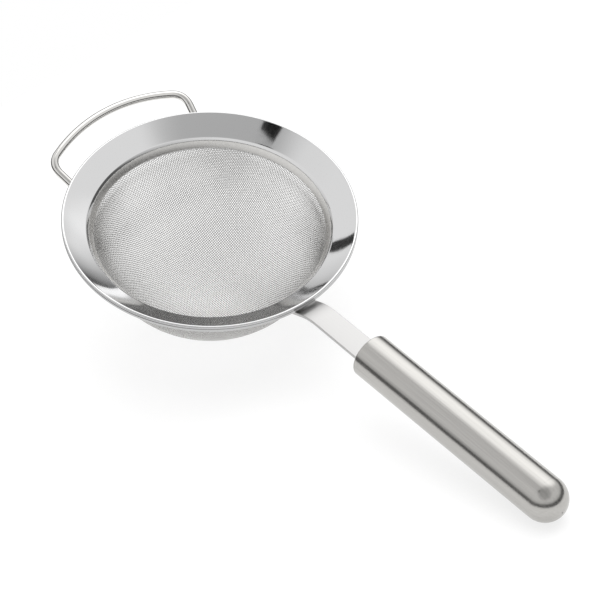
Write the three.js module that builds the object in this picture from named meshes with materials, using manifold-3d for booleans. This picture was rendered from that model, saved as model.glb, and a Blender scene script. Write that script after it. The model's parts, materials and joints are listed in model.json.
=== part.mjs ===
// Small stainless steel tea strainer: a flared rim with a rolled edge, a woven wire basket, a wire rest loop
// on one side and a round hollow handle on a flat strap on the other.
// Millimetres, +Z up. The strainer is drawn level, handle along +X and the middle of the rolled edge at
// height 0. It is then tilted to the pose in which it stands by itself, on its basket and its handle's end.
import * as THREE from "three";
import { mergeVertices } from "three/addons/utils/BufferGeometryUtils.js";
import Module from "manifold-3d";

const wasm = await Module();
wasm.setup();

const radians = THREE.MathUtils.degToRad;

// Driving dimensions
const hem = { outer: 46.4, roll: 0.5, top: 0.55, foot: -0.7 }; // rolled edge; heights of its rolls' centres
const sheet = 0.5; // rim metal
const throat = { r: 38.6, z: -3.0 }; // where the flare turns down into the neck
const neckLength = 3.4; // down its slope
const bandTop = { r: 38.3, z: -3.35 }; // retaining band, inner face
const bandFoot = { r: 36.6, z: -5.9 };
const bandSheet = 0.35;
const cloth = 0.45; // two wires thick
const seam = 0.1; // room between sheets that are pressed together
const basket = { r: 36.9, depth: 31.9, z: -5.6 }; // half an ellipse hung from this height

const handle = { r: 7.0, wall: 0.8, from: 75.3, to: 149.3, rise: radians(3.5) };
const handleRoot = -2.65; // height at which the handle's axis would cross the rim's axis
const plug = { thick: 2.0, play: 0.3 };
const strap = { width: 8.2, thick: 1.1, bendAt: 51.6, bend: 3, footBend: 1.2, tab: 1.2 };
const tongue = { thick: 0.9, reach: 24, shoulder: 0.5 }; // the strap's end inside the handle
const strapFoot = { x: 40.9, z: -4.9 }; // where it turns down along the neck
const loop = { wire: 1.25, ring: 55.0, half: 26.0, footHalf: 25.0, corner: 6.0, footX: 32.6 };
const loopPlane = { x: 39.1, z: -2.5, rise: radians(20), turn: radians(-2) };
const weld = 1.5; // radius of a weld lump
const gap = 0.3; // clearance between pieces that are cut to each other

const round = 60; // facets round the rim
const small = 28; // facets round the handle

const polished = { color: 0xd6d6d6, roughness: 0.12, metalness: 1 };
const satin = { color: 0xc2c0ba, roughness: 0.32, metalness: 1 };
const woven = { color: 0xc9c9c9, roughness: 0.35, metalness: 1 };
const welded = { color: 0x9c9a94, roughness: 0.5, metalness: 1 };

const strainer = new THREE.Group();

function addPiece(name, geometry, finish) {
  const mesh = new THREE.Mesh(geometry, new THREE.MeshStandardMaterial(finish));
  mesh.name = name;
  strainer.add(mesh);
}

// A closed outline of [radius, height] pairs turned about the Z axis, with its faces outwards.
function turned(outline, facets = round) {
  const points = outline.map(([r, z]) => new THREE.Vector2(r, z));
  if (THREE.ShapeUtils.area(points) < 0) points.reverse();
  return new THREE.LatheGeometry([...points, points[0]], facets).rotateX(Math.PI / 2);
}

// [radius, height] pairs on an ellipse round (r, z), from one angle to another in degrees.
function arc(r, z, a, b, from, to, steps) {
  return Array.from({ length: steps + 1 }, (_, i) => {
    const t = radians(from + ((to - from) * i) / steps);
    return [r + a * Math.cos(t), z + b * Math.sin(t)];
  });
}

// Half a facet round, so that a turned piece rests on a facet's whole width and not on one corner.
const onFacet = (geometry, facets) => geometry.rotateZ(Math.PI / facets);

function solidOf(geometry) {
  const bare = geometry.clone();
  bare.deleteAttribute("normal");
  bare.deleteAttribute("uv");
  const merged = mergeVertices(bare, 1e-4);
  const vertProperties = new Float32Array(merged.attributes.position.array);
  const triVerts = new Uint32Array(merged.index.array);
  return new wasm.Manifold(new wasm.Mesh({ numProp: 3, vertProperties, triVerts }));
}

function geometryOf(solid) {
  const mesh = solid.getMesh();
  const geometry = new THREE.BufferGeometry();
  geometry.setAttribute("position", new THREE.BufferAttribute(mesh.vertProperties, 3));
  geometry.setIndex(new THREE.BufferAttribute(mesh.triVerts, 1));
  geometry.computeVertexNormals();
  return geometry;
}

// The neck, the cloth's edge and the band lie on one another on a slope: a point that far down the slope
// from the band's top, and that far out through the three sheets.
const bandLength = Math.hypot(bandTop.r - bandFoot.r, bandTop.z - bandFoot.z);
const down = [(bandFoot.r - bandTop.r) / bandLength, (bandFoot.z - bandTop.z) / bandLength];
const onSlope = (along, through) => [
  bandTop.r + down[0] * along - down[1] * through,
  bandTop.z + down[1] * along + down[0] * through,
];
const clothInner = bandSheet + seam;
const clothOuter = clothInner + cloth;
const neckInner = clothOuter + seam;
const neckOuter = neckInner + sheet;

// Rim: the flare runs straight from the throat up to the hem and meets its upper roll at a tangent.
const rollRing = hem.outer - hem.roll;
const flareRun = rollRing - throat.r;
const flareRise = hem.top - throat.z;
const flareSlope = Math.atan2(flareRise, flareRun) + Math.asin(hem.roll / Math.hypot(flareRun, flareRise));
const underFlare = (along, off) => [
  throat.r + along * Math.cos(flareSlope) + off * Math.sin(flareSlope),
  throat.z + along * Math.sin(flareSlope) - off * Math.cos(flareSlope),
];

function rimOutline() {
  const tangent = 90 + THREE.MathUtils.radToDeg(flareSlope);
  const hemInner = rollRing - hem.roll;
  const underHem = (hemInner - underFlare(0, sheet)[0]) / Math.cos(flareSlope);
  return [
    [throat.r, throat.z],
    onSlope(sheet, neckInner),
    onSlope(neckLength, neckInner),
    onSlope(neckLength, neckOuter),
    onSlope(2 * sheet, neckOuter),
    underFlare(0, sheet),
    underFlare(underHem, sheet),
    ...arc(rollRing, hem.foot, hem.roll, hem.roll, -180, 0, 8),
    ...arc(rollRing, hem.top, hem.roll, hem.roll, 0, tangent, 6),
  ];
}

const bandOutline = [
  onSlope(0, 0),
  onSlope(bandLength, 0),
  onSlope(bandLength, bandSheet),
  onSlope(0, bandSheet),
];

// Basket: a thin shell whose edge is held between the band and the neck.
function basketOutline() {
  const clear = 4.5; // degrees below the ellipse's widest place, past the end of the neck
  const wall = (r, depth) => arc(0, basket.z, r, depth, -clear, -90, 13);
  const outer = wall(basket.r, basket.depth);
  const inner = wall(basket.r - cloth, basket.depth - cloth).reverse();
  outer.at(-1)[0] = 0;
  inner[0][0] = 0;
  return [
    onSlope(sheet, clothOuter),
    onSlope(neckLength + seam, clothOuter),
    ...outer,
    ...inner,
    onSlope(bandLength + 2 * seam, clothInner),
    onSlope(sheet, clothInner),
  ];
}

// A closed shell of outline that touches the axis has no face along it, so its ends are not joined.
function turnedShell(outline, facets = round) {
  const start = outline.findIndex(([r], i) => r === 0 && outline[i + 1]?.[0] === 0) + 1;
  const points = [...outline.slice(start), ...outline.slice(0, start)];
  const profile = points.map(([r, z]) => new THREE.Vector2(r, z));
  if (THREE.ShapeUtils.area(profile) < 0) profile.reverse();
  return new THREE.LatheGeometry(profile, facets).rotateX(Math.PI / 2);
}

addPiece("rim_flange", turned(rimOutline()), polished);
addPiece("inner_band", turned(bandOutline), polished);
addPiece("mesh_basket", onFacet(turnedShell(basketOutline()), round), woven);

// Handle: pieces turned about the handle's axis.
const onHandle = (along, off = 0) =>
  new THREE.Vector3(
    along * Math.cos(handle.rise) - off * Math.sin(handle.rise),
    0,
    handleRoot + along * Math.sin(handle.rise) + off * Math.cos(handle.rise),
  );

// Outline pairs are [radius, distance along the handle].
function alongHandle(geometry) {
  geometry.rotateY(Math.PI / 2 - handle.rise);
  return geometry.translate(0, 0, handleRoot);
}

const bore = handle.r - handle.wall;
const tubeOutline = [
  [bore, handle.from],
  [handle.r - 0.4, handle.from],
  [handle.r, handle.from + 0.4],
  [handle.r, handle.to],
  [bore, handle.to],
];
addPiece("handle_tube", alongHandle(onFacet(turned(tubeOutline, small), small)), satin);

function domeOutline() {
  const start = handle.to + gap;
  const outer = arc(0, start, handle.r, handle.r, 0, 90, 7);
  const inner = arc(0, start, bore, bore, 90, 0, 7);
  outer.at(-1)[0] = 0;
  inner[0][0] = 0;
  return [...outer, ...inner];
}
addPiece("handle_end_dome", alongHandle(onFacet(turnedShell(domeOutline(), small), small)), satin);

// Front plug: closes the tube's mouth round the strap.
function plugGeometry() {
  const start = handle.from + plug.play;
  const radius = bore - plug.play;
  const outline = [
    [0, start],
    [radius, start],
    [radius, start + plug.thick],
    [0, start + plug.thick],
  ].map(([r, z]) => new THREE.Vector2(r, z));
  const disc = alongHandle(onFacet(new THREE.LatheGeometry(outline, small).rotateX(Math.PI / 2), small));
  const slotWide = strap.width + 2 * gap;
  const slotHigh = strap.thick + 2 * gap;
  const slot = new THREE.BoxGeometry(slotHigh, slotWide, 6 * plug.thick);
  alongHandle(slot.translate(0, 0, start));
  return geometryOf(solidOf(disc).subtract(solidOf(slot)));
}
addPiece("handle_front_plug", plugGeometry(), satin);

// Strap: straight out of the handle, bent down under the rolled edge to a tab along the neck.
function strapPath() {
  const at = (v) => new THREE.Vector2(v.x, v.z);
  const inTube = at(onHandle(handle.from + tongue.reach));
  const bend = at(onHandle(strap.bendAt));
  const foot = new THREE.Vector2(strapFoot.x, strapFoot.z);
  const outwards = inTube.clone().sub(bend).normalize();
  const inwards = foot.clone().sub(bend).normalize();
  const tabWay = new THREE.Vector2(down[0], down[1]);
  const bendFrom = bend.clone().addScaledVector(outwards, strap.bend);
  const bendTo = bend.clone().addScaledVector(inwards, strap.bend);
  const footFrom = foot.clone().addScaledVector(inwards, -strap.footBend);
  const footTo = foot.clone().addScaledVector(tabWay, strap.footBend);
  const path = new THREE.CurvePath();
  path.add(new THREE.LineCurve(inTube, bendFrom));
  path.add(new THREE.QuadraticBezierCurve(bendFrom, bend, bendTo));
  path.add(new THREE.LineCurve(bendTo, footFrom));
  path.add(new THREE.QuadraticBezierCurve(footFrom, foot, footTo));
  path.add(new THREE.LineCurve(footTo, footTo.clone().addScaledVector(tabWay, strap.tab)));
  return path;
}

// The tongue inside the handle is a little thinner than the strap, with its shoulder just outside the mouth.
function strapGeometry(thick, width) {
  const line = strapPath().getPoints(5);
  const across = line.map((p, i) => {
    const before = line[Math.max(i - 1, 0)];
    const after = line[Math.min(i + 1, line.length - 1)];
    const way = after.clone().sub(before).normalize();
    return new THREE.Vector2(-way.y, way.x).multiplyScalar(thick / 2);
  });
  const shoulder = onHandle(handle.from - tongue.shoulder);
  const mouth = new THREE.Vector2(shoulder.x, shoulder.z);
  const thinner = tongue.thick / strap.thick;
  const side = (s) => [
    line[0].clone().addScaledVector(across[0], s * thinner),
    mouth.clone().addScaledVector(across[0], s * thinner),
    mouth.clone().addScaledVector(across[0], s),
    ...line.slice(1).map((p, i) => p.clone().addScaledVector(across[i + 1], s)),
  ];
  const shape = new THREE.Shape([...side(1), ...side(-1).reverse()]);
  const geometry = new THREE.ExtrudeGeometry(shape, { depth: width, bevelEnabled: false });
  return geometry.rotateX(Math.PI / 2).translate(0, width / 2, 0);
}
addPiece("handle_strap", strapGeometry(strap.thick, strap.width), satin);

// Rest loop: a round wire in a plane that rises outwards. Seen from above it has two legs, two corners and
// an outer run concentric with the rim.
function loopPath() {
  const reach = Math.asin(loop.half / loop.ring);
  const cornerX = -Math.sqrt(loop.ring ** 2 - loop.half ** 2);
  const start = Math.PI - reach + loop.corner / loop.ring;
  const side = (s) => {
    const foot = new THREE.Vector2(-loop.footX, s * loop.footHalf);
    const corner = new THREE.Vector2(cornerX, s * loop.half);
    const before = corner.clone().addScaledVector(foot.clone().sub(corner).normalize(), loop.corner);
    const after = new THREE.Vector2(loop.ring * Math.cos(start), s * loop.ring * Math.sin(start));
    return { foot, corner, before, after };
  };
  const left = side(1);
  const right = side(-1);
  const plan = [
    ...new THREE.LineCurve(left.foot, left.before).getPoints(3).slice(0, -1),
    ...new THREE.QuadraticBezierCurve(left.before, left.corner, left.after).getPoints(6).slice(0, -1),
    ...new THREE.ArcCurve(0, 0, loop.ring, start, 2 * Math.PI - start).getPoints(12).slice(0, -1),
    ...new THREE.QuadraticBezierCurve(right.after, right.corner, right.before).getPoints(6).slice(0, -1),
    ...new THREE.LineCurve(right.before, right.foot).getPoints(3),
  ];
  const lift = (p) => loopPlane.z + (-p.x - loopPlane.x) * Math.tan(loopPlane.rise);
  return new THREE.CatmullRomCurve3(plan.map((p) => new THREE.Vector3(p.x, p.y, lift(p))));
}

function loopGeometry(radius) {
  const section = new THREE.Shape().absarc(0, 0, radius, 0, 2 * Math.PI);
  const options = { extrudePath: loopPath(), steps: 64, curveSegments: 12 };
  return new THREE.ExtrudeGeometry(section, options).rotateZ(loopPlane.turn);
}
addPiece("rest_loop", loopGeometry(loop.wire), satin);

// Weld lumps: at each end of the wire and at the end of the strap's tab, cut clear of what they join.
const rimRoom = solidOf(
  turned([
    [basket.r - 4, 2],
    [basket.r - 4, bandFoot.z - 2],
    onSlope(neckLength + gap, neckOuter + gap),
    onSlope(2 * sheet, neckOuter + gap),
    underFlare(0, sheet + gap),
    underFlare(5, sheet + gap),
    [throat.r + 5, 2],
  ]),
);

function weldGeometry(centre, stretch, wireOrStrap) {
  const lump = new THREE.SphereGeometry(weld, 16, 10).scale(...stretch);
  lump.translate(centre.x, centre.y, centre.z);
  return geometryOf(solidOf(lump).subtract(rimRoom).subtract(wireOrStrap));
}

const loopEnds = loopPath();
const wireRoom = solidOf(loopGeometry(loop.wire + gap));
[
  ["loop_weld_left", loopEnds.getPointAt(0)],
  ["loop_weld_right", loopEnds.getPointAt(1)],
].forEach(([name, end]) => {
  end.applyAxisAngle(new THREE.Vector3(0, 0, 1), loopPlane.turn);
  addPiece(name, weldGeometry(end, [1.4, 1.4, 1.4], wireRoom), welded);
});

const tabEnd = strapPath().getPoint(1);
const strapRoom = solidOf(strapGeometry(strap.thick + 2 * gap, strap.width + 2 * gap));
const strapWeldAt = new THREE.Vector3(tabEnd.x, 0, tabEnd.y);
addPiece("strap_weld", weldGeometry(strapWeldAt, [1, 2.4, 1], strapRoom), welded);

// The tilt that brings the basket and the handle's end down to one level: their lowest points are compared
// and the angle is halved in on.
function restTilt() {
  const lowest = (name, tilt) => {
    const tilted = strainer.getObjectByName(name).geometry.clone().rotateY(tilt);
    tilted.computeBoundingBox();
    return tilted.boundingBox.min.z;
  };
  let [low, high] = [0, Math.PI / 4];
  while (high - low > 1e-6) {
    const middle = (low + high) / 2;
    if (lowest("mesh_basket", middle) > lowest("handle_end_dome", middle)) high = middle;
    else low = middle;
  }
  return low;
}
strainer.rotation.y = restTilt();

// Origin: middle of the footprint, on the surface that the strainer stands on.
const box = new THREE.Box3().setFromObject(strainer, true);
const centre = box.getCenter(new THREE.Vector3());
strainer.position.set(-centre.x, -centre.y, -box.min.z);

export default strainer;
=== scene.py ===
import json
import math
import bpy
import numpy as np
from mathutils import Matrix, Vector


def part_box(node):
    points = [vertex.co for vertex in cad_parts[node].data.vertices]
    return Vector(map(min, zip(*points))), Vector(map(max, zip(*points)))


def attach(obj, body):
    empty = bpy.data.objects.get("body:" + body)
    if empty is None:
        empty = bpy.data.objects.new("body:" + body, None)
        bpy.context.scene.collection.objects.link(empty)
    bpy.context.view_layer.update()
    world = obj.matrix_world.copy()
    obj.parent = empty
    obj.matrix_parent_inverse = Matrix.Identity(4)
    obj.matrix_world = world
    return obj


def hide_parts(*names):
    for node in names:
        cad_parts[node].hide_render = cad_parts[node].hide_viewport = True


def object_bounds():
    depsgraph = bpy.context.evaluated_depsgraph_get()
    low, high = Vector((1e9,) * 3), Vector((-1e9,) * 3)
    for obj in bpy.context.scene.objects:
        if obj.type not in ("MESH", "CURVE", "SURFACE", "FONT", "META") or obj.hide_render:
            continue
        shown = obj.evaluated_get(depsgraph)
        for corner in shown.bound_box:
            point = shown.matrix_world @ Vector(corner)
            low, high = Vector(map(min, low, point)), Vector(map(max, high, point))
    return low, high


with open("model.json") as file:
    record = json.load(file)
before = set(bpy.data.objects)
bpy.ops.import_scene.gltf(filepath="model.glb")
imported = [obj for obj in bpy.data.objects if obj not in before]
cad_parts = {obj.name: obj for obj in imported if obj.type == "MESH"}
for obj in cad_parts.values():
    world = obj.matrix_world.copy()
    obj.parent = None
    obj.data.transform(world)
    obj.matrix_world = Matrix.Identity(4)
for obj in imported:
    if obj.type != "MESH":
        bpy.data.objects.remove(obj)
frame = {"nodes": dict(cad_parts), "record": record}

cadBox = [list(corner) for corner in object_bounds()]

# Everything is drawn in millimetres with the strainer level: handle along +X, middle of the hem at height 0.
# setDown() then tilts it about Y to the pose it stands in and turns millimetres into metres.
handle = {
    "radius": 7.0, "wall": 0.8, "start": 75.3, "end": 149.3, "root": -2.65, "rise": math.radians(3.5),
    "around": 160, "boreEdge": (0.3, 0.25), "mouthEdge": 0.45, "seam": 0.005, "collar": 0.02,
    "domeExtra": 0.25,
}
rim = {
    "ring": 45.9, "roll": 0.5, "hemTop": 0.55, "hemFoot": -0.7, "sheet": 0.5, "throat": (38.6, -3.0),
    "slopes": (28.3, 31), "around": 384, "tuckGap": 0.12,
    "crease": ((0, 0.4), (0.05, 0.28), (0.2, 0.12), (0.05, -0.04), (0, -0.2)),
}
seat = {
    "top": (38.32, -3.3), "foot": (36.45, -5.65), "band": 0.35, "neckIn": 1.0, "neckOut": 1.5, "neck": 3.4,
    "lip": 0.1, "lipRun": 0.5, "lipBack": (0.55, 0.3), "neckTop": 1.1, "neckRun": 0.9,
    "bandStart": 0.57, "bandEnd": 3.0, "bandGap": 0.02, "bandEdge": 0.07, "bandAround": 256,
}
bowl = {"radius": 36.66, "depth": 31.66, "height": -5.6}

strapNormal = frame["record"]["mounts"][0]["axis"]
tilt = math.atan2(strapNormal[0], strapNormal[2]) + handle["rise"]
rimLow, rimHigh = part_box("rim_flange")
rimCentre = np.array([
    (rimLow[0] + rimHigh[0]) / 2 - (rim["hemTop"] + rim["hemFoot"]) / 2 * math.sin(tilt) / 1000,
    (rimLow[1] + rimHigh[1]) / 2,
    rimHigh[2] - (rim["ring"] * math.sin(tilt) + rim["hemTop"] * math.cos(tilt) + rim["roll"]) / 1000,
])
tiltMatrix = np.array([
    [math.cos(tilt), 0, math.sin(tilt)],
    [0, 1, 0],
    [-math.sin(tilt), 0, math.cos(tilt)],
])


def setDown(points):
    # level millimetres -> metres in the frame: turn about Y by the tilt, then move to the rim's centre
    return points @ tiltMatrix.T / 1000 + rimCentre


def arcPoints(centre, radius, fromDeg, toDeg, count):
    # centre + radius * (cos a, sin a), with a going evenly from one angle to the other
    a = np.radians(np.linspace(fromDeg, toDeg, count))
    return np.stack([centre[0] + radius * np.cos(a), centre[1] + radius * np.sin(a)], axis=1)


def bendPoints(start, corner, end, count):
    # quadratic curve (1-t)^2 start + 2t(1-t) corner + t^2 end
    t = np.linspace(0, 1, count)[:, None]
    start, corner, end = np.array(start), np.array(corner), np.array(end)
    return (1 - t) ** 2 * start + 2 * t * (1 - t) * corner + t * t * end


def softOutline(corners, cut, count=5):
    # a closed outline whose corners are cut back by a length and joined by quadratic curves
    corners = np.array(corners, float)
    runs = []
    for i, corner in enumerate(corners):
        before, after = corners[i - 1], corners[(i + 1) % len(corners)]
        toBefore = (before - corner) / np.linalg.norm(before - corner)
        toAfter = (after - corner) / np.linalg.norm(after - corner)
        runs.append(bendPoints(corner + toBefore * cut, corner, corner + toAfter * cut, count))
    return np.concatenate(runs)


def makePiece(name, points, faces, material, replaces=()):
    # points are level millimetres; faces is an array of quads, or a list of polygons
    mesh = bpy.data.meshes.new(name)
    placed = setDown(np.asarray(points, float).reshape(-1, 3))
    if isinstance(faces, np.ndarray):
        sizes = np.full(len(faces), faces.shape[1])
        flat = faces.ravel()
    else:
        sizes = np.array([len(f) for f in faces])
        flat = np.concatenate(faces)
    mesh.vertices.add(len(placed))
    mesh.vertices.foreach_set("co", placed.ravel())
    mesh.loops.add(len(flat))
    mesh.loops.foreach_set("vertex_index", flat.astype(np.int32))
    mesh.polygons.add(len(sizes))
    mesh.polygons.foreach_set("loop_start", (np.cumsum(sizes) - sizes).astype(np.int32))
    mesh.update(calc_edges=True)
    mesh.validate()
    mesh.polygons.foreach_set("use_smooth", np.ones(len(sizes), bool))
    mesh.materials.append(material)
    piece = bpy.data.objects.new(name, mesh)
    bpy.context.scene.collection.objects.link(piece)
    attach(piece, "root")
    for node in replaces:
        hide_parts(node)
    print(name, "faces:", len(sizes))
    return piece


def gridFaces(rows, columns, closeRows, closeColumns):
    # quads (i,j) (i+1,j) (i+1,j+1) (i,j+1) of a rows x columns grid, wrapping round where closed
    i = np.arange(rows if closeRows else rows - 1)[:, None]
    j = np.arange(columns if closeColumns else columns - 1)[None, :]
    iNext, jNext = (i + 1) % rows, (j + 1) % columns
    quads = [i * columns + j, iNext * columns + j, iNext * columns + jNext, i * columns + jNext]
    return np.stack(quads, axis=-1).reshape(-1, 4)


def turnRound(outline, around, axisX, axisY, axisZ, origin):
    # each outline point (r, h) goes to origin + h*axisZ + r*(cos a * axisX + sin a * axisY)
    a = np.linspace(0, 2 * np.pi, around, endpoint=False)
    ring = np.cos(a)[:, None] * axisX + np.sin(a)[:, None] * axisY
    r, h = outline[:, 0], outline[:, 1]
    return origin + h[None, :, None] * axisZ + r[None, :, None] * ring[:, None, :]


def upright(outline, around):
    # turned about the level strainer's own upright axis
    axisX, axisY, axisZ = np.eye(3)
    return turnRound(outline, around, axisX, axisY, axisZ, np.zeros(3))


def facing(outline):
    # anticlockwise in (r, h), so that the faces of a closed turned ring point out of the metal
    nextOne = np.roll(outline, -1, axis=0)
    area = np.sum(outline[:, 0] * nextOne[:, 1] - nextOne[:, 0] * outline[:, 1])
    return outline if area > 0 else outline[::-1]


handleRoot = np.array([0, 0, handle["root"]])
handleWay = np.array([math.cos(handle["rise"]), 0, math.sin(handle["rise"])])
handleUp = np.array([-math.sin(handle["rise"]), 0, math.cos(handle["rise"])])
sideways = np.array([0, 1, 0])


# materials
hazeRange = (0.6, 1.4)


def newMaterial(name, colour, metal, roughness):
    material = bpy.data.materials.new(name)
    material.use_nodes = True
    shader = material.node_tree.nodes["Principled BSDF"]
    shader.inputs["Base Color"].default_value = (*colour, 1)
    shader.inputs["Metallic"].default_value = metal
    shader.inputs["Roughness"].default_value = roughness
    return material, material.node_tree, shader


def makeGrainGroup():
    # fine lines along X of the given coordinates: noise squeezed along them, as roughness, tone and height
    group = bpy.data.node_groups.new("metalGrain", "ShaderNodeTree")
    face = group.interface
    face.new_socket(name="Vector", in_out="INPUT", socket_type="NodeSocketVector")
    for name, value in (("Fineness", 900.0), ("Tone", 0.1), ("Base Roughness", 0.2), ("Spread", 0.1)):
        face.new_socket(name=name, in_out="INPUT", socket_type="NodeSocketFloat").default_value = value
    face.new_socket(name="Colour", in_out="INPUT", socket_type="NodeSocketColor")
    face.new_socket(name="Colour", in_out="OUTPUT", socket_type="NodeSocketColor")
    face.new_socket(name="Roughness", in_out="OUTPUT", socket_type="NodeSocketFloat")
    face.new_socket(name="Height", in_out="OUTPUT", socket_type="NodeSocketFloat")
    nodes, links = group.nodes, group.links
    inside = nodes.new("NodeGroupInput")
    outside = nodes.new("NodeGroupOutput")
    squeeze = nodes.new("ShaderNodeVectorMath")
    squeeze.operation = "MULTIPLY"
    squeeze.inputs[1].default_value = (0.02, 1, 1)
    lines = nodes.new("ShaderNodeTexNoise")
    lines.inputs["Detail"].default_value = 3
    lines.inputs["Roughness"].default_value = 0.65
    links.new(inside.outputs["Vector"], squeeze.inputs[0])
    links.new(squeeze.outputs[0], lines.inputs["Vector"])
    links.new(inside.outputs["Fineness"], lines.inputs["Scale"])
    centred = nodes.new("ShaderNodeMath")
    centred.operation = "SUBTRACT"
    centred.inputs[1].default_value = 0.5
    links.new(lines.outputs["Fac"], centred.inputs[0])
    rough = nodes.new("ShaderNodeMath")
    rough.operation = "MULTIPLY_ADD"
    links.new(centred.outputs[0], rough.inputs[0])
    links.new(inside.outputs["Spread"], rough.inputs[1])
    links.new(inside.outputs["Base Roughness"], rough.inputs[2])
    tone = nodes.new("ShaderNodeMath")
    tone.operation = "MULTIPLY_ADD"
    tone.inputs[2].default_value = 1
    links.new(centred.outputs[0], tone.inputs[0])
    links.new(inside.outputs["Tone"], tone.inputs[1])
    tint = nodes.new("ShaderNodeVectorMath")
    tint.operation = "SCALE"
    links.new(inside.outputs["Colour"], tint.inputs[0])
    links.new(tone.outputs[0], tint.inputs["Scale"])
    links.new(tint.outputs[0], outside.inputs["Colour"])
    links.new(rough.outputs[0], outside.inputs["Roughness"])
    links.new(centred.outputs[0], outside.inputs["Height"])
    return group


grainGroup = makeGrainGroup()


def grainMetal(name, facts):
    # a metal whose grain runs along the handle, which Mapping turns X on to, or else along X itself
    material, tree, shader = newMaterial(name, facts["colour"], 1.0, facts["roughness"])
    nodes, links = tree.nodes, tree.links
    where = nodes.new("ShaderNodeTexCoord")
    turn = nodes.new("ShaderNodeMapping")
    turn.inputs["Rotation"].default_value = (0, tilt - handle["rise"] if facts["alongHandle"] else 0, 0)
    turn.vector_type = "TEXTURE"
    grain = nodes.new("ShaderNodeGroup")
    grain.node_tree = grainGroup
    grain.inputs["Fineness"].default_value = facts["fineness"]
    grain.inputs["Tone"].default_value = facts["tone"]
    grain.inputs["Base Roughness"].default_value = facts["roughness"]
    grain.inputs["Spread"].default_value = facts["spread"]
    grain.inputs["Colour"].default_value = (*facts["colour"], 1)
    bump = nodes.new("ShaderNodeBump")
    bump.inputs["Strength"].default_value = facts["bump"]
    bump.inputs["Distance"].default_value = facts["bumpDepth"]
    links.new(where.outputs["Object"], turn.inputs["Vector"])
    links.new(turn.outputs["Vector"], grain.inputs["Vector"])
    links.new(grain.outputs["Colour"], shader.inputs["Base Color"])
    links.new(grain.outputs["Roughness"], shader.inputs["Roughness"])
    links.new(grain.outputs["Height"], bump.inputs["Height"])
    links.new(bump.outputs["Normal"], shader.inputs["Normal"])
    return material


def mirrorMetal(name, facts):
    # polished sheet: a slow waviness from pressing bends its reflections, with a trace of fine haze, and
    # painted shade, a darker colour mixed in where the piece's hem attribute is set
    material, tree, shader = newMaterial(name, facts["colour"], 1.0, facts["roughness"])
    nodes, links = tree.nodes, tree.links
    where = nodes.new("ShaderNodeTexCoord")
    wave = nodes.new("ShaderNodeTexNoise")
    wave.inputs["Scale"].default_value = facts["waveScale"]
    wave.inputs["Detail"].default_value = 1
    haze = nodes.new("ShaderNodeTexNoise")
    haze.inputs["Scale"].default_value = facts["hazeScale"]
    haze.inputs["Detail"].default_value = 4
    spread = nodes.new("ShaderNodeMapRange")
    spread.inputs["To Min"].default_value = facts["roughness"] * hazeRange[0]
    spread.inputs["To Max"].default_value = facts["roughness"] * hazeRange[1]
    bump = nodes.new("ShaderNodeBump")
    bump.inputs["Strength"].default_value = facts["bump"]
    bump.inputs["Distance"].default_value = facts["bumpDepth"]
    # painted shade: where the hem attribute is set, the colour is mixed towards a darker one, for the shade
    # under the rolled edge and in its groove
    hem = nodes.new("ShaderNodeAttribute")
    hem.attribute_name = "hem"
    tint = nodes.new("ShaderNodeMix")
    tint.data_type = "RGBA"
    tint.inputs[6].default_value = (*facts["colour"], 1)
    tint.inputs[7].default_value = (*facts["hemShadeColour"], 1)
    links.new(hem.outputs["Fac"], tint.inputs[0])
    links.new(tint.outputs[2], shader.inputs["Base Color"])
    links.new(where.outputs["Object"], wave.inputs["Vector"])
    links.new(where.outputs["Object"], haze.inputs["Vector"])
    links.new(haze.outputs["Fac"], spread.inputs["Value"])
    links.new(spread.outputs[0], shader.inputs["Roughness"])
    links.new(wave.outputs["Fac"], bump.inputs["Height"])
    links.new(bump.outputs["Normal"], shader.inputs["Normal"])
    return material


# the darker hem colour is painted shade for the rim's rolled edge; the band has no hem attribute, so it shows
# only its plain colour
rimSteel = mirrorMetal("rimSteel", {
    "colour": (0.72, 0.72, 0.722), "hemShadeColour": (0.13, 0.13, 0.13), "roughness": 0.065,
    "waveScale": 60, "hazeScale": 900,
    "bump": 0.3, "bumpDepth": 0.0006,
})
bandSteel = mirrorMetal("bandSteel", {
    "colour": (0.74, 0.73, 0.71), "hemShadeColour": (0.3, 0.29, 0.28), "roughness": 0.3,
    "waveScale": 120, "hazeScale": 1500,
    "bump": 0.2, "bumpDepth": 0.0003,
})
handleSteel = grainMetal("handleSteel", {
    "colour": (0.47, 0.46, 0.442), "roughness": 0.21, "spread": 0.16, "tone": 0.34, "fineness": 1800,
    "bump": 0.12, "bumpDepth": 0.0001, "alongHandle": True,
})
strapSteel = grainMetal("strapSteel", {
    "colour": (0.51, 0.505, 0.5), "roughness": 0.34, "spread": 0.12, "tone": 0.08, "fineness": 1300,
    "bump": 0.1, "bumpDepth": 0.0001, "alongHandle": True,
})
loopSteel = grainMetal("loopSteel", {
    "colour": (0.72, 0.71, 0.69), "roughness": 0.07, "spread": 0.1, "tone": 0.15, "fineness": 1500,
    "bump": 0.1, "bumpDepth": 0.0001, "alongHandle": False,
})
weldSteel = grainMetal("weldSteel", {
    "colour": (0.42, 0.4, 0.37), "roughness": 0.45, "spread": 0.3, "tone": 0.5, "fineness": 700,
    "bump": 0.5, "bumpDepth": 0.0003, "alongHandle": False,
})
wireSteel = grainMetal("wireSteel", {
    "colour": (0.66, 0.655, 0.645), "roughness": 0.2, "spread": 0.1, "tone": 0.12, "fineness": 400,
    "bump": 0.0, "bumpDepth": 0.00001, "alongHandle": False,
})
print("materials made")


# rim: flare, rolled edge and neck from one sheet
def slopePoint(along, through):
    # a point down the seat's slope from its top, and out through the sheets that lie on it
    way = np.array(seat["foot"]) - np.array(seat["top"])
    way = way / np.linalg.norm(way)
    return np.array(seat["top"]) + along * way + through * np.array([-way[1], way[0]])


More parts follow.
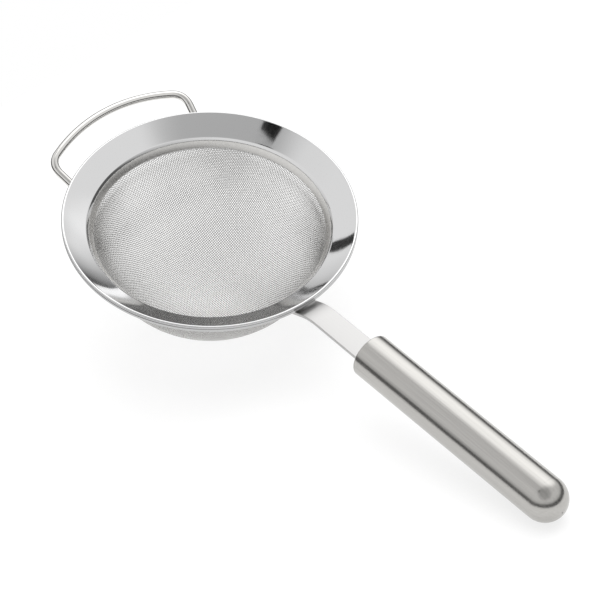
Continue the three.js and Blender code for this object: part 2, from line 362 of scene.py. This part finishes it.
def rimOutline():
    # flare, hem rolled out and down, underside of the flare, then down the neck and back up to the lip
    low, high = np.radians(rim["slopes"])
    throat = np.array(rim["throat"])
    ring, roll, sheet = rim["ring"], rim["roll"], rim["sheet"]
    meets = 90 + rim["slopes"][1]
    edge = arcPoints((ring, rim["hemTop"]), roll, meets, meets, 1)[0]
    lowWay = np.array([math.cos(low), math.sin(low)])
    highWay = np.array([math.cos(high), math.sin(high)])
    run = np.linalg.solve(np.stack([lowWay, highWay], axis=1), edge - throat)[0]
    top = bendPoints(throat, throat + run * lowWay, edge, 26)
    hemUp = arcPoints((ring, rim["hemTop"]), roll, meets, 0, 16)
    out = ring + roll
    side = np.array([(out - inset, height) for inset, height in rim["crease"]])
    hemDown = arcPoints((ring, rim["hemFoot"]), roll, 0, -180, 26)
    under = top[::-1] + sheet * np.array([math.sin((low + high) / 2), -math.cos((low + high) / 2)])
    under = under[under[:, 0] < ring - roll - rim["tuckGap"]]
    tuck = bendPoints((ring - roll, under[0][1] - 0.2), (ring - roll, under[0][1] + 0.06), under[0], 6)[:-1]
    neckTop = slopePoint(seat["neckTop"], seat["neckOut"])
    neckEnd = [slopePoint(seat["neck"], seat["neckOut"]), slopePoint(seat["neck"], seat["neckIn"])]
    outer = bendPoints(under[-1], under[-1] + (neckTop - under[-1]) * 0.5, neckTop, 4)[1:]
    footBend = (neckEnd[0] + neckEnd[1]) / 2 + (neckEnd[0] - neckTop) * 0.08
    foot = bendPoints(neckEnd[0], footBend, neckEnd[1], 6)
    lipEnd = slopePoint(seat["lip"] + seat["lipRun"], 0)
    back, backDepth = seat["lipBack"]
    behind = [
        slopePoint(seat["lip"] + seat["neckRun"], seat["neckIn"]),
        slopePoint(seat["lip"] + back, backDepth),
    ]
    lip = bendPoints(lipEnd, slopePoint(seat["lip"], 0), throat, 12)[:-1]
    return np.concatenate([top, hemUp[1:], side, hemDown, tuck, under, outer, foot, behind, lip])


# how much painted shade the hem gets on its outside, in the groove between its rolls and underneath
hemShade = {"outside": 0.35, "margin": 0.2, "groove": 0.12, "grooveWidth": 0.16, "fade": 0.25, "reach": 0.6}


def hemShadeMask(outline):
    # painted shade on the hem: 0 on the flare; a set amount on the hem's outside; e^-(height/width)^2 up to 1
    # in the groove between its two rolls; fading up to 1 underneath
    r, z = outline[:, 0], outline[:, 1]
    outside = (r > rim["ring"] + hemShade["margin"]) & (z < rim["hemTop"] + hemShade["margin"])
    groove = np.exp(-((z - hemShade["groove"]) / hemShade["grooveWidth"]) ** 2)
    beneath = np.clip((rim["hemFoot"] - hemShade["margin"] - z) / hemShade["fade"], 0, 1)
    above = np.where(outside, np.maximum(hemShade["outside"], groove), 0)
    return above * (1 - beneath) + beneath * (r > rim["ring"] - hemShade["reach"])


outline = facing(rimOutline())
rimPoints = upright(outline, rim["around"])
rimQuads = gridFaces(rim["around"], len(outline), True, True)
rimPiece = makePiece("rimFlange", rimPoints, rimQuads, rimSteel, ["rim_flange"])
# the hem attribute holds the painted shade that the rim's material mixes in
hem = rimPiece.data.attributes.new("hem", "FLOAT", "POINT")
hem.data.foreach_set("value", np.tile(hemShadeMask(outline), rim["around"]).astype(np.float32))

bandOutline = facing(softOutline([
    slopePoint(seat["lip"] + seat["bandStart"], seat["bandGap"]),
    slopePoint(seat["bandEnd"], seat["bandGap"]),
    slopePoint(seat["bandEnd"], seat["band"]),
    slopePoint(seat["lip"] + seat["bandStart"], seat["band"]),
], seat["bandEdge"]))
bandPoints = upright(bandOutline, seat["bandAround"])
bandQuads = gridFaces(seat["bandAround"], len(bandOutline), True, True)
makePiece("retainingBand", bandPoints, bandQuads, bandSteel, ["inner_band"])


# basket: plain-woven wire cloth pressed into the bowl
cloth = {
    "pitch": 0.64, "wire": 0.12, "lift": 0.11, "sides": 4,
    "top": -4.9, "flare": 1.0, "flareFoot": -9.5, "flareRise": 4.4,
    "reach": 100, "settle": 14, "relax": 0.62, "sweep": 0.62, "samples": 4000,
}


def ontoBowl(p):
    # scales a point towards the bowl's centre until (x/a)^2 + (y/a)^2 + ((z-h)/d)^2 = 1
    q = (p - np.array([0, 0, bowl["height"]])) / np.array([bowl["radius"], bowl["radius"], bowl["depth"]])
    q = q / np.linalg.norm(q, axis=-1, keepdims=True)
    return q * np.array([bowl["radius"], bowl["radius"], bowl["depth"]]) + np.array([0, 0, bowl["height"]])


def meridian(count):
    # points a pitch apart along the ellipse from the bottom up, found by inverting its arc length
    t = np.linspace(0, math.pi * cloth["sweep"], cloth["samples"])
    x, z = bowl["radius"] * np.sin(t), -bowl["depth"] * np.cos(t)
    length = np.concatenate([[0], np.cumsum(np.hypot(np.diff(x), np.diff(z)))])
    at = np.interp(np.arange(count) * cloth["pitch"], length, t)
    return bowl["radius"] * np.sin(at), bowl["height"] - bowl["depth"] * np.cos(at)


def weaveQuarter():
    # cloth shears but doesn't stretch: each crossing is one pitch from its two neighbours, so it starts
    # at a + b - c, the fourth corner of a rhombus, and is settled on to the bowl and both lengths
    count = cloth["reach"]
    net = np.full((count, count, 3), np.nan)
    out, up = meridian(count)
    net[:, 0] = np.stack([out, np.zeros(count), up], axis=1)
    net[0, :] = np.stack([np.zeros(count), out, up], axis=1)
    for diagonal in range(2, 2 * count - 1):
        i = np.arange(max(1, diagonal - count + 1), min(diagonal, count))
        j = diagonal - i
        a, b, c = net[i - 1, j], net[i, j - 1], net[i - 1, j - 1]
        p = a + b - c
        for _ in range(cloth["settle"]):
            fromA, fromB = p - a, p - b
            lengthA = np.linalg.norm(fromA, axis=1, keepdims=True)
            lengthB = np.linalg.norm(fromB, axis=1, keepdims=True)
            excessA = (lengthA - cloth["pitch"]) * fromA / lengthA
            excessB = (lengthB - cloth["pitch"]) * fromB / lengthB
            p = ontoBowl(p - cloth["relax"] * (excessA + excessB))
        p[~(p[:, 2] < cloth["top"])] = np.nan
        net[i, j] = p
    net[net[..., 2] >= cloth["top"]] = np.nan
    return net


def wholeNet():
    # the quarter repeated by mirror images: x and y take the sign of their row and column
    quarter = weaveQuarter()
    count = cloth["reach"]
    index = np.abs(np.arange(-count + 1, count))
    sign = np.sign(np.arange(-count + 1, count))
    net = quarter[index][:, index].copy()
    net[..., 0] *= np.where(sign == 0, 1, sign)[:, None]
    net[..., 1] *= np.where(sign == 0, 1, sign)[None, :]
    return net


def tubeFaces(valid, sides):
    # quads between neighbouring rings where both exist, and a cap where a wire starts or ends
    rings = np.cumsum(valid.ravel()).reshape(valid.shape) - 1
    both = valid[:, :-1] & valid[:, 1:]
    here, there = rings[:, :-1][both], rings[:, 1:][both]
    k = np.arange(sides)
    kNext = (k + 1) % sides
    walls = np.stack([
        here[:, None] * sides + k,
        here[:, None] * sides + kNext,
        there[:, None] * sides + kNext,
        there[:, None] * sides + k,
    ], axis=-1).reshape(-1, 4)
    padded = np.pad(valid, ((0, 0), (1, 1)))
    first = rings[valid & ~padded[:, :-2]]
    last = rings[valid & ~padded[:, 2:]]
    startCaps = first[:, None] * sides + k[::-1]
    endCaps = last[:, None] * sides + k
    return np.concatenate([walls, startCaps, endCaps])


def flareTop(p):
    # near its edge the cloth leaves the bowl's curve and moves outwards by flare * (3t^2 - 2t^3)
    z = p[..., 2]
    t = np.clip((z - cloth["flareFoot"]) / cloth["flareRise"], 0, 1)
    grow = cloth["flare"] * t * t * (3 - 2 * t)
    r = np.hypot(p[..., 0], p[..., 1])
    scale = 1 + grow / np.maximum(r, 1)
    return np.stack([p[..., 0] * scale, p[..., 1] * scale, z], axis=-1)


def clothWires(name, net, phase):
    # along each row: ring k round the wire's centre, lifted by +-lift along the cloth's normal in turn
    centre = flareTop(net)
    valid = ~np.isnan(net[..., 0])
    ahead = np.roll(centre, -1, axis=1)
    behind = np.roll(centre, 1, axis=1)
    way = np.where(np.isnan(ahead), centre, ahead) - np.where(np.isnan(behind), centre, behind)
    halfAxes = np.array([bowl["radius"], bowl["radius"], bowl["depth"]])
    normal = (net - np.array([0, 0, bowl["height"]])) / halfAxes ** 2
    with np.errstate(invalid="ignore"):
        way = way / np.linalg.norm(way, axis=-1, keepdims=True)
        normal = normal / np.linalg.norm(normal, axis=-1, keepdims=True)
    across = np.cross(normal, way)
    rows, columns = np.indices(valid.shape)
    over = np.where((rows + columns) % 2 == 0, 1, -1) * phase
    centre = centre + normal * (over * cloth["lift"])[..., None]
    a = np.arange(cloth["sides"]) * 2 * np.pi / cloth["sides"]
    ring = np.cos(a)[:, None] * normal[valid][:, None, :] + np.sin(a)[:, None] * across[valid][:, None, :]
    points = centre[valid][:, None, :] + cloth["wire"] * ring
    faces = tubeFaces(valid, cloth["sides"])[:, ::-1]
    makePiece(name, points, faces, wireSteel, ["mesh_basket"])


net = wholeNet()
clothWires("clothWarp", net, 1)
clothWires("clothWeft", np.swapaxes(net, 0, 1), -1)


# rest loop: one bent wire
loop = {
    "wire": 1.3, "ring": 55.0, "half": 26.5, "footHalf": 23.4, "corner": 4.2, "footX": 33.7,
    "planeX": 39.1, "planeZ": -2.5, "rise": math.radians(20), "turn": math.radians(-2), "sides": 28,
    "endScales": (0.55, 0.85), "endRun": 0.25,
}


def loopRoute():
    # half the plan: leg, corner curve and arc of the outer run; the other half is its mirror image
    cornerX = -math.sqrt(loop["ring"] ** 2 - loop["half"] ** 2)
    foot, corner = np.array([-loop["footX"], loop["footHalf"]]), np.array([cornerX, loop["half"]])
    before = corner + (foot - corner) / np.linalg.norm(foot - corner) * loop["corner"]
    start = math.pi - math.asin(loop["half"] / loop["ring"]) + loop["corner"] / loop["ring"]
    after = loop["ring"] * np.array([math.cos(start), math.sin(start)])
    leg = foot + (before - foot) * np.linspace(0, 1, 24)[:, None]
    bend = bendPoints(before, corner, after, 22)
    run = arcPoints((0, 0), loop["ring"], math.degrees(start), 180, 40)
    half = np.concatenate([leg[:-1], bend, run[1:]])
    plan = np.concatenate([half, (half * [1, -1])[-2::-1]])
    turn = np.array([
        [math.cos(loop["turn"]), math.sin(loop["turn"])],
        [-math.sin(loop["turn"]), math.cos(loop["turn"])],
    ])
    height = loop["planeZ"] + (-plan[:, 0] - loop["planeX"]) * math.tan(loop["rise"])
    return np.column_stack([plan @ turn, height])


def sweepWire(route, radius, sides):
    # rings square to the route, their first axis kept in the plane of the loop, with domed ends
    way = np.gradient(route, axis=0)
    way = way / np.linalg.norm(way, axis=1, keepdims=True)
    planeNormal = np.cross(route[len(route) // 2] - route[0], route[-1] - route[0])
    planeNormal = planeNormal / np.linalg.norm(planeNormal)
    across = np.cross(way, planeNormal)
    a = np.arange(sides) * 2 * np.pi / sides
    ring = np.cos(a)[:, None] * planeNormal + np.sin(a)[:, None] * across[:, None, :]
    ends = np.array(loop["endScales"])
    startRings = route[0] - way[0] * radius * loop["endRun"] * (1 - ends)[:, None]
    endRings = route[-1] + way[-1] * radius * loop["endRun"] * (1 - ends[::-1])[:, None]
    centres = np.concatenate([startRings, route, endRings])
    scale = np.concatenate([ends, np.ones(len(route)), ends[::-1]])
    rings = np.concatenate([ring[:1], ring[:1], ring, ring[-1:], ring[-1:]])
    return centres[:, None, :] + radius * scale[:, None, None] * rings


def closedTube(rings):
    # wall quads plus one polygon at each end
    count, sides = rings.shape[:2]
    faces = [list(f) for f in gridFaces(count, sides, False, True)]
    faces.append(list(range(sides)))
    faces.append(list(range(count * sides - 1, (count - 1) * sides - 1, -1)))
    return faces


route = loopRoute()
loopRings = sweepWire(route, loop["wire"], loop["sides"])
makePiece("restLoop", loopRings, closedTube(loopRings), loopSteel, ["rest_loop"])


# strap: flat strip from the neck, bent under the rolled edge, into the handle
strap = {
    "width": (8.0, 8.4), "thick": 1.1, "edge": 0.22, "bendAt": 51.6, "bend": 3.6, "footBend": 1.3,
    "foot": (40.9, -4.9), "tab": 1.2, "reach": 20,
}


def alongStrap():
    # the strip's middle line in the x-z plane, from inside the handle to the tab on the neck
    inside = (handleRoot + handleWay * (handle["start"] + strap["reach"]))[[0, 2]]
    bend = (handleRoot + handleWay * strap["bendAt"])[[0, 2]]
    foot = np.array(strap["foot"])
    outwards = (inside - bend) / np.linalg.norm(inside - bend)
    inwards = (foot - bend) / np.linalg.norm(foot - bend)
    tabWay = slopePoint(1, 0) - slopePoint(0, 0)
    bendFrom, bendTo = bend + outwards * strap["bend"], bend + inwards * strap["bend"]
    footFrom, footTo = foot - inwards * strap["footBend"], foot + tabWay * strap["footBend"]
    straight = inside + (bendFrom - inside) * np.linspace(0, 1, 30)[:, None]
    slope = bendTo + (footFrom - bendTo) * np.linspace(0, 1, 12)[:, None]
    tab = footTo + tabWay * np.linspace(0, strap["tab"], 5)[:, None]
    return np.concatenate([
        straight[:-1],
        bendPoints(bendFrom, bend, bendTo, 16)[:-1],
        slope[:-1],
        bendPoints(footFrom, foot, footTo, 10)[:-1],
        tab,
    ])


def strapRings():
    # a flat section with softened edges, square to the route; it is a little wider at the handle's end
    line = alongStrap()
    way = np.gradient(line, axis=0)
    way = way / np.linalg.norm(way, axis=1, keepdims=True)
    normal = np.stack([-way[:, 1], way[:, 0]], axis=1)
    flat = strap["thick"] / 2
    section = softOutline([(-1, -1), (1, -1), (1, 1), (-1, 1)], strap["edge"], 6)
    towards = np.clip((line[:, 0] - strap["foot"][0]) / (handle["start"] - strap["foot"][0]), 0, 1)
    halfWidth = (strap["width"][0] + (strap["width"][1] - strap["width"][0]) * towards) / 2
    inset = np.sign(section) - section
    u = np.sign(section[:, 0]) * halfWidth[:, None] - inset[:, 0]
    v = np.sign(section[:, 1]) * flat - inset[:, 1]
    x = line[:, None, 0] + normal[:, None, 0] * v
    z = line[:, None, 1] + normal[:, None, 1] * v
    return np.stack([x, u, z], axis=-1)


rings = strapRings()
makePiece("handleStrap", rings, closedTube(rings), strapSteel, ["handle_strap"])


# handle: tube, domed end and the plug in its mouth
def alongHandle(outline, around):
    # turned about the handle's axis, with heights measured along it
    return turnRound(outline, around, sideways, handleUp, handleWay, handleRoot)


bore = handle["radius"] - handle["wall"]
edgeRun, edgeStep = handle["boreEdge"]
lipOutline = facing(np.concatenate([
    bendPoints((bore, handle["start"] + edgeRun), (bore, handle["start"]),
               (bore + edgeStep, handle["start"]), 5),
    bendPoints((handle["radius"] - handle["mouthEdge"], handle["start"]), (handle["radius"], handle["start"]),
               (handle["radius"], handle["start"] + handle["mouthEdge"]), 7),
    np.array([
        (handle["radius"], handle["start"] + 2),
        (handle["radius"], handle["end"] - 2),
        (handle["radius"], handle["end"] - handle["collar"]),
    ]),
    np.array([(handle["radius"], handle["end"]), (bore, handle["end"]), (bore, handle["start"] + 2)]),
]))
tubePoints = alongHandle(lipOutline, handle["around"])
tubeQuads = gridFaces(handle["around"], len(lipOutline), True, True)
makePiece("handleTube", tubePoints, tubeQuads, handleSteel, ["handle_tube"])


def domeShell(around):
    # quarter circles (r cos a, r sin a) outside and inside, from the tube's end to the tip
    start = handle["end"] + handle["seam"]
    length = handle["radius"] + handle["domeExtra"]
    outer = arcPoints((0, 0), 1, 0, 88.5, 34) * [handle["radius"], length] + [0, start]
    inner = arcPoints((0, 0), 1, 88.5, 0, 24) * [bore, length - handle["wall"]] + [0, start]
    collar = np.array([[handle["radius"], start], [handle["radius"], start + handle["collar"]]])
    shell = np.concatenate([inner, collar, outer[1:]])
    points = alongHandle(shell, around).reshape(-1, 3)
    tips = handleRoot + handleWay * np.array([[start + length - handle["wall"]], [start + length]])
    columns = len(shell)
    faces = [list(f) for f in gridFaces(around, columns, True, False)]
    k = np.arange(around)
    nextK = (k + 1) % around
    size = around * columns
    last = columns - 1
    faces += [[int(a * columns), int(b * columns), size] for a, b in zip(k, nextK)]
    faces += [[int(b * columns + last), int(a * columns + last), size + 1] for a, b in zip(k, nextK)]
    return np.concatenate([points, tips]), faces


points, faces = domeShell(handle["around"])
makePiece("handleDome", points, faces, handleSteel, ["handle_end_dome"])

frame["nodes"]["handle_front_plug"].data.materials.clear()
frame["nodes"]["handle_front_plug"].data.materials.append(strapSteel)


# welds: lumps drawn as spheres with a rippled radius
weld = {"loopSize": (1.7, 1.7, 1.5), "strapSize": (1.1, 3.7, 1.0), "inset": 0.5, "broad": 0.06, "fine": 0.04}


def weldLump(name, centre, stretch, seed, replaces):
    # radius 1 + ripples of a few waves round and down, so that the ends close at the poles
    rng = np.random.default_rng(seed)
    lat = np.linspace(0, np.pi, 22)[:, None]
    lon = np.linspace(0, 2 * np.pi, 36, endpoint=False)[None, :]
    ripple = 1 + weld["broad"] * np.sin(lat) * np.sin(3 * lon + rng.uniform(0, 6)) * np.cos(2 * lat)
    ripple = ripple + weld["fine"] * np.sin(lat) ** 2 * np.sin(7 * lon + rng.uniform(0, 6))
    unit = np.stack([np.sin(lat) * np.cos(lon), np.sin(lat) * np.sin(lon), np.cos(lat) + 0 * lon], axis=-1)
    grid = centre + unit * ripple[..., None] * np.array(stretch)
    rings = grid[1:-1]
    makePiece(name, rings, closedTube(rings[:, ::-1]), weldSteel, replaces)


def inward(p, step):
    # moved level towards the strainer's axis
    return p - np.append(p[:2] / np.linalg.norm(p[:2]), 0) * step


weldLump("loopWeldLeft", inward(route[0], weld["inset"]), weld["loopSize"], 3, ["loop_weld_left"])
weldLump("loopWeldRight", inward(route[-1], weld["inset"]), weld["loopSize"], 4, ["loop_weld_right"])
tabEnd = np.array([alongStrap()[-1][0], 0, alongStrap()[-1][1]])
weldLump("strapWeld", tabEnd, weld["strapSize"], 5, ["strap_weld"])


# floor, light and camera
studio = {
    "floorSize": 0.42, "floorTone": 0.3, "floorGlow": 0.72, "dimAzimuth": -35, "dimElevation": 64,
    "dimTone": 0.6, "dimCosines": (0.8, 0.96), "keyAzimuth": 121, "keyElevation": 50, "keyGlow": 0.95,
    "keyCosines": (0.8, 0.99), "mattRoughness": 0.9,
    "sky": ((0.0, 0.1), (0.18, 0.12), (0.26, 0.6), (0.34, 0.8), (0.45, 0.93), (0.8, 0.93), (1.0, 0.86)),
}
lamps = {
    "fillLight": {"azimuth": 118, "elevation": 74, "distance": 1.5, "size": 1.8, "power": 14},
}
flags = {
    "flagLeft": {"azimuth": -88, "elevation": 67.5, "distance": 1.0, "size": (0.12, 0.17), "tone": 0.05},
    "flagRight": {"azimuth": 171.5, "elevation": 31, "distance": 1.0, "size": (0.12, 0.07), "tone": 0.08},
    "flagFront": {"azimuth": -34, "elevation": 35, "distance": 1.0, "size": (0.1, 0.04), "tone": 0.08},
    "nearRight": {"azimuth": 171, "elevation": 62.5, "distance": 1.0, "size": (0.14, 0.1), "tone": 0.03},
    "lowRight": {"azimuth": 158, "elevation": 14, "distance": 1.0, "size": (0.2, 0.08), "tone": 0.03},
}
camera = {
    "eye": (446.26, -368.30, 614.02), "turn": 47.585, "elevation": 48.408, "roll": -2.223, "lens": 161.86,
}


def makeFloor():
    half = studio["floorSize"] / 2
    middle = (np.array(cadBox[0]) + np.array(cadBox[1])) / 2
    mesh = bpy.data.meshes.new("floor")
    signs = ((-1, -1), (1, -1), (1, 1), (-1, 1))
    corners = [(middle[0] + x * half, middle[1] + y * half, 0) for x, y in signs]
    mesh.from_pydata(corners, [], [(0, 1, 2, 3)])
    material, _, shader = newMaterial("floorWhite", (studio["floorTone"],) * 3, 0, studio["mattRoughness"])
    shader.inputs["Specular IOR Level"].default_value = 0
    shader.inputs["Emission Color"].default_value = (1, 1, 1, 1)
    shader.inputs["Emission Strength"].default_value = studio["floorGlow"]
    mesh.materials.append(material)
    floor = bpy.data.objects.new("floor", mesh)
    bpy.context.scene.collection.objects.link(floor)


def makeSky():
    # brightness by height above the horizon, dimmed above the camera, with a soft bright patch for the main
    # light, each faded between two cosines of the angle from its middle; the camera itself sees plain white
    world = bpy.data.worlds.new("studioSky")
    bpy.context.scene.world = world
    world.use_nodes = True
    nodes, links = world.node_tree.nodes, world.node_tree.links
    nodes.clear()
    where = nodes.new("ShaderNodeTexCoord")
    split = nodes.new("ShaderNodeSeparateXYZ")
    ramp = nodes.new("ShaderNodeValToRGB")
    stops = ramp.color_ramp.elements
    (stops[0].position, low), (stops[1].position, high) = studio["sky"][0], studio["sky"][-1]
    stops[0].color, stops[1].color = (low, low, low, 1), (high, high, high, 1)
    for position, tone in studio["sky"][1:-1]:
        stops.new(position).color = (tone, tone, tone, 1)
    links.new(where.outputs["Generated"], split.inputs[0])
    links.new(split.outputs["Z"], ramp.inputs["Fac"])
    side = nodes.new("ShaderNodeVectorMath")
    side.operation = "DOT_PRODUCT"
    side.inputs[1].default_value = wayTo(studio["dimAzimuth"], studio["dimElevation"])
    links.new(where.outputs["Generated"], side.inputs[0])
    dim = nodes.new("ShaderNodeMapRange")
    dim.interpolation_type = "SMOOTHSTEP"
    dim.inputs["From Min"].default_value, dim.inputs["From Max"].default_value = studio["dimCosines"]
    dim.inputs["To Min"].default_value = 1.0
    dim.inputs["To Max"].default_value = studio["dimTone"]
    links.new(side.outputs["Value"], dim.inputs["Value"])
    tone = nodes.new("ShaderNodeVectorMath")
    tone.operation = "SCALE"
    links.new(ramp.outputs["Color"], tone.inputs[0])
    links.new(dim.outputs[0], tone.inputs["Scale"])
    patch = nodes.new("ShaderNodeVectorMath")
    patch.operation = "DOT_PRODUCT"
    patch.inputs[1].default_value = wayTo(studio["keyAzimuth"], studio["keyElevation"])
    links.new(where.outputs["Generated"], patch.inputs[0])
    glow = nodes.new("ShaderNodeMapRange")
    glow.interpolation_type = "SMOOTHSTEP"
    glow.inputs["From Min"].default_value, glow.inputs["From Max"].default_value = studio["keyCosines"]
    glow.inputs["To Min"].default_value = 0.0
    glow.inputs["To Max"].default_value = studio["keyGlow"]
    links.new(patch.outputs["Value"], glow.inputs["Value"])
    lit = nodes.new("ShaderNodeVectorMath")
    lit.operation = "ADD"
    links.new(tone.outputs[0], lit.inputs[0])
    links.new(glow.outputs[0], lit.inputs[1])
    path = nodes.new("ShaderNodeLightPath")
    choose = nodes.new("ShaderNodeMix")
    choose.data_type = "RGBA"
    choose.inputs[7].default_value = (1, 1, 1, 1)
    links.new(path.outputs["Is Camera Ray"], choose.inputs[0])
    links.new(lit.outputs[0], choose.inputs[6])
    back = nodes.new("ShaderNodeBackground")
    out = nodes.new("ShaderNodeOutputWorld")
    links.new(choose.outputs[2], back.inputs["Color"])
    links.new(back.outputs[0], out.inputs["Surface"])


def wayTo(azimuth, elevation):
    # (cos e cos a, cos e sin a, sin e)
    a, e = math.radians(azimuth), math.radians(elevation)
    return Vector((math.cos(e) * math.cos(a), math.cos(e) * math.sin(a), math.sin(e)))


def makeLamp(name, facts):
    light = bpy.data.lights.new(name, "AREA")
    light.shape = "SQUARE"
    light.size = facts["size"]
    light.energy = facts["power"]
    lamp = bpy.data.objects.new(name, light)
    bpy.context.scene.collection.objects.link(lamp)
    way = wayTo(facts["azimuth"], facts["elevation"])
    lamp.location = way * facts["distance"]
    lamp.rotation_euler = way.to_track_quat("Z", "Y").to_euler()
    lamp.visible_glossy = False


def makeFlag(name, facts):
    # a dark card that shows only in reflections
    way = wayTo(facts["azimuth"], facts["elevation"])
    side = way.cross(Vector((0, 0, 1))).normalized()
    up = side.cross(way)
    wide, high = facts["size"]
    middle = way * facts["distance"]
    signs = ((-1, -1), (1, -1), (1, 1), (-1, 1))
    corners = [middle + side * x * wide / 2 + up * y * high / 2 for x, y in signs]
    mesh = bpy.data.meshes.new(name)
    mesh.from_pydata(corners, [], [(0, 1, 2, 3)])
    material = newMaterial(name, (facts["tone"],) * 3, 0, studio["mattRoughness"])[0]
    mesh.materials.append(material)
    flag = bpy.data.objects.new(name, mesh)
    bpy.context.scene.collection.objects.link(flag)
    flag.visible_camera = False
    flag.visible_diffuse = False
    flag.visible_shadow = False


def makeCamera():
    # the view is set out from the level strainer: turned about its axis, looking down, and rolled
    turn, down, roll = (math.radians(camera[k]) for k in ("turn", "elevation", "roll"))
    spin = np.array([[math.cos(turn), -math.sin(turn), 0], [math.sin(turn), math.cos(turn), 0], [0, 0, 1]])
    right = spin @ np.array([1, 0, 0])
    forward = spin @ np.array([0, math.cos(down), -math.sin(down)])
    below = np.cross(forward, right)
    rolledRight = math.cos(roll) * right + math.sin(roll) * below
    rolledBelow = math.cos(roll) * below - math.sin(roll) * right
    axes = tiltMatrix @ np.stack([rolledRight, -rolledBelow, -forward], axis=1)
    data = bpy.data.cameras.new("camera")
    data.lens = camera["lens"]
    data.sensor_width = 36
    data.clip_start = 0.01
    view = bpy.data.objects.new("camera", data)
    bpy.context.scene.collection.objects.link(view)
    placed = np.eye(4)
    placed[:3, :3] = axes
    placed[:3, 3] = setDown(np.array(camera["eye"]))
    view.matrix_world = Matrix(placed.tolist())
    bpy.context.scene.camera = view


makeFloor()
makeSky()
for name, facts in lamps.items():
    makeLamp(name, facts)
for name, facts in flags.items():
    makeFlag(name, facts)
makeCamera()
bpy.context.scene.view_settings.view_transform = "Standard"
bpy.context.scene.view_settings.look = "None"
print("stage set")

bpy.context.view_layer.update()
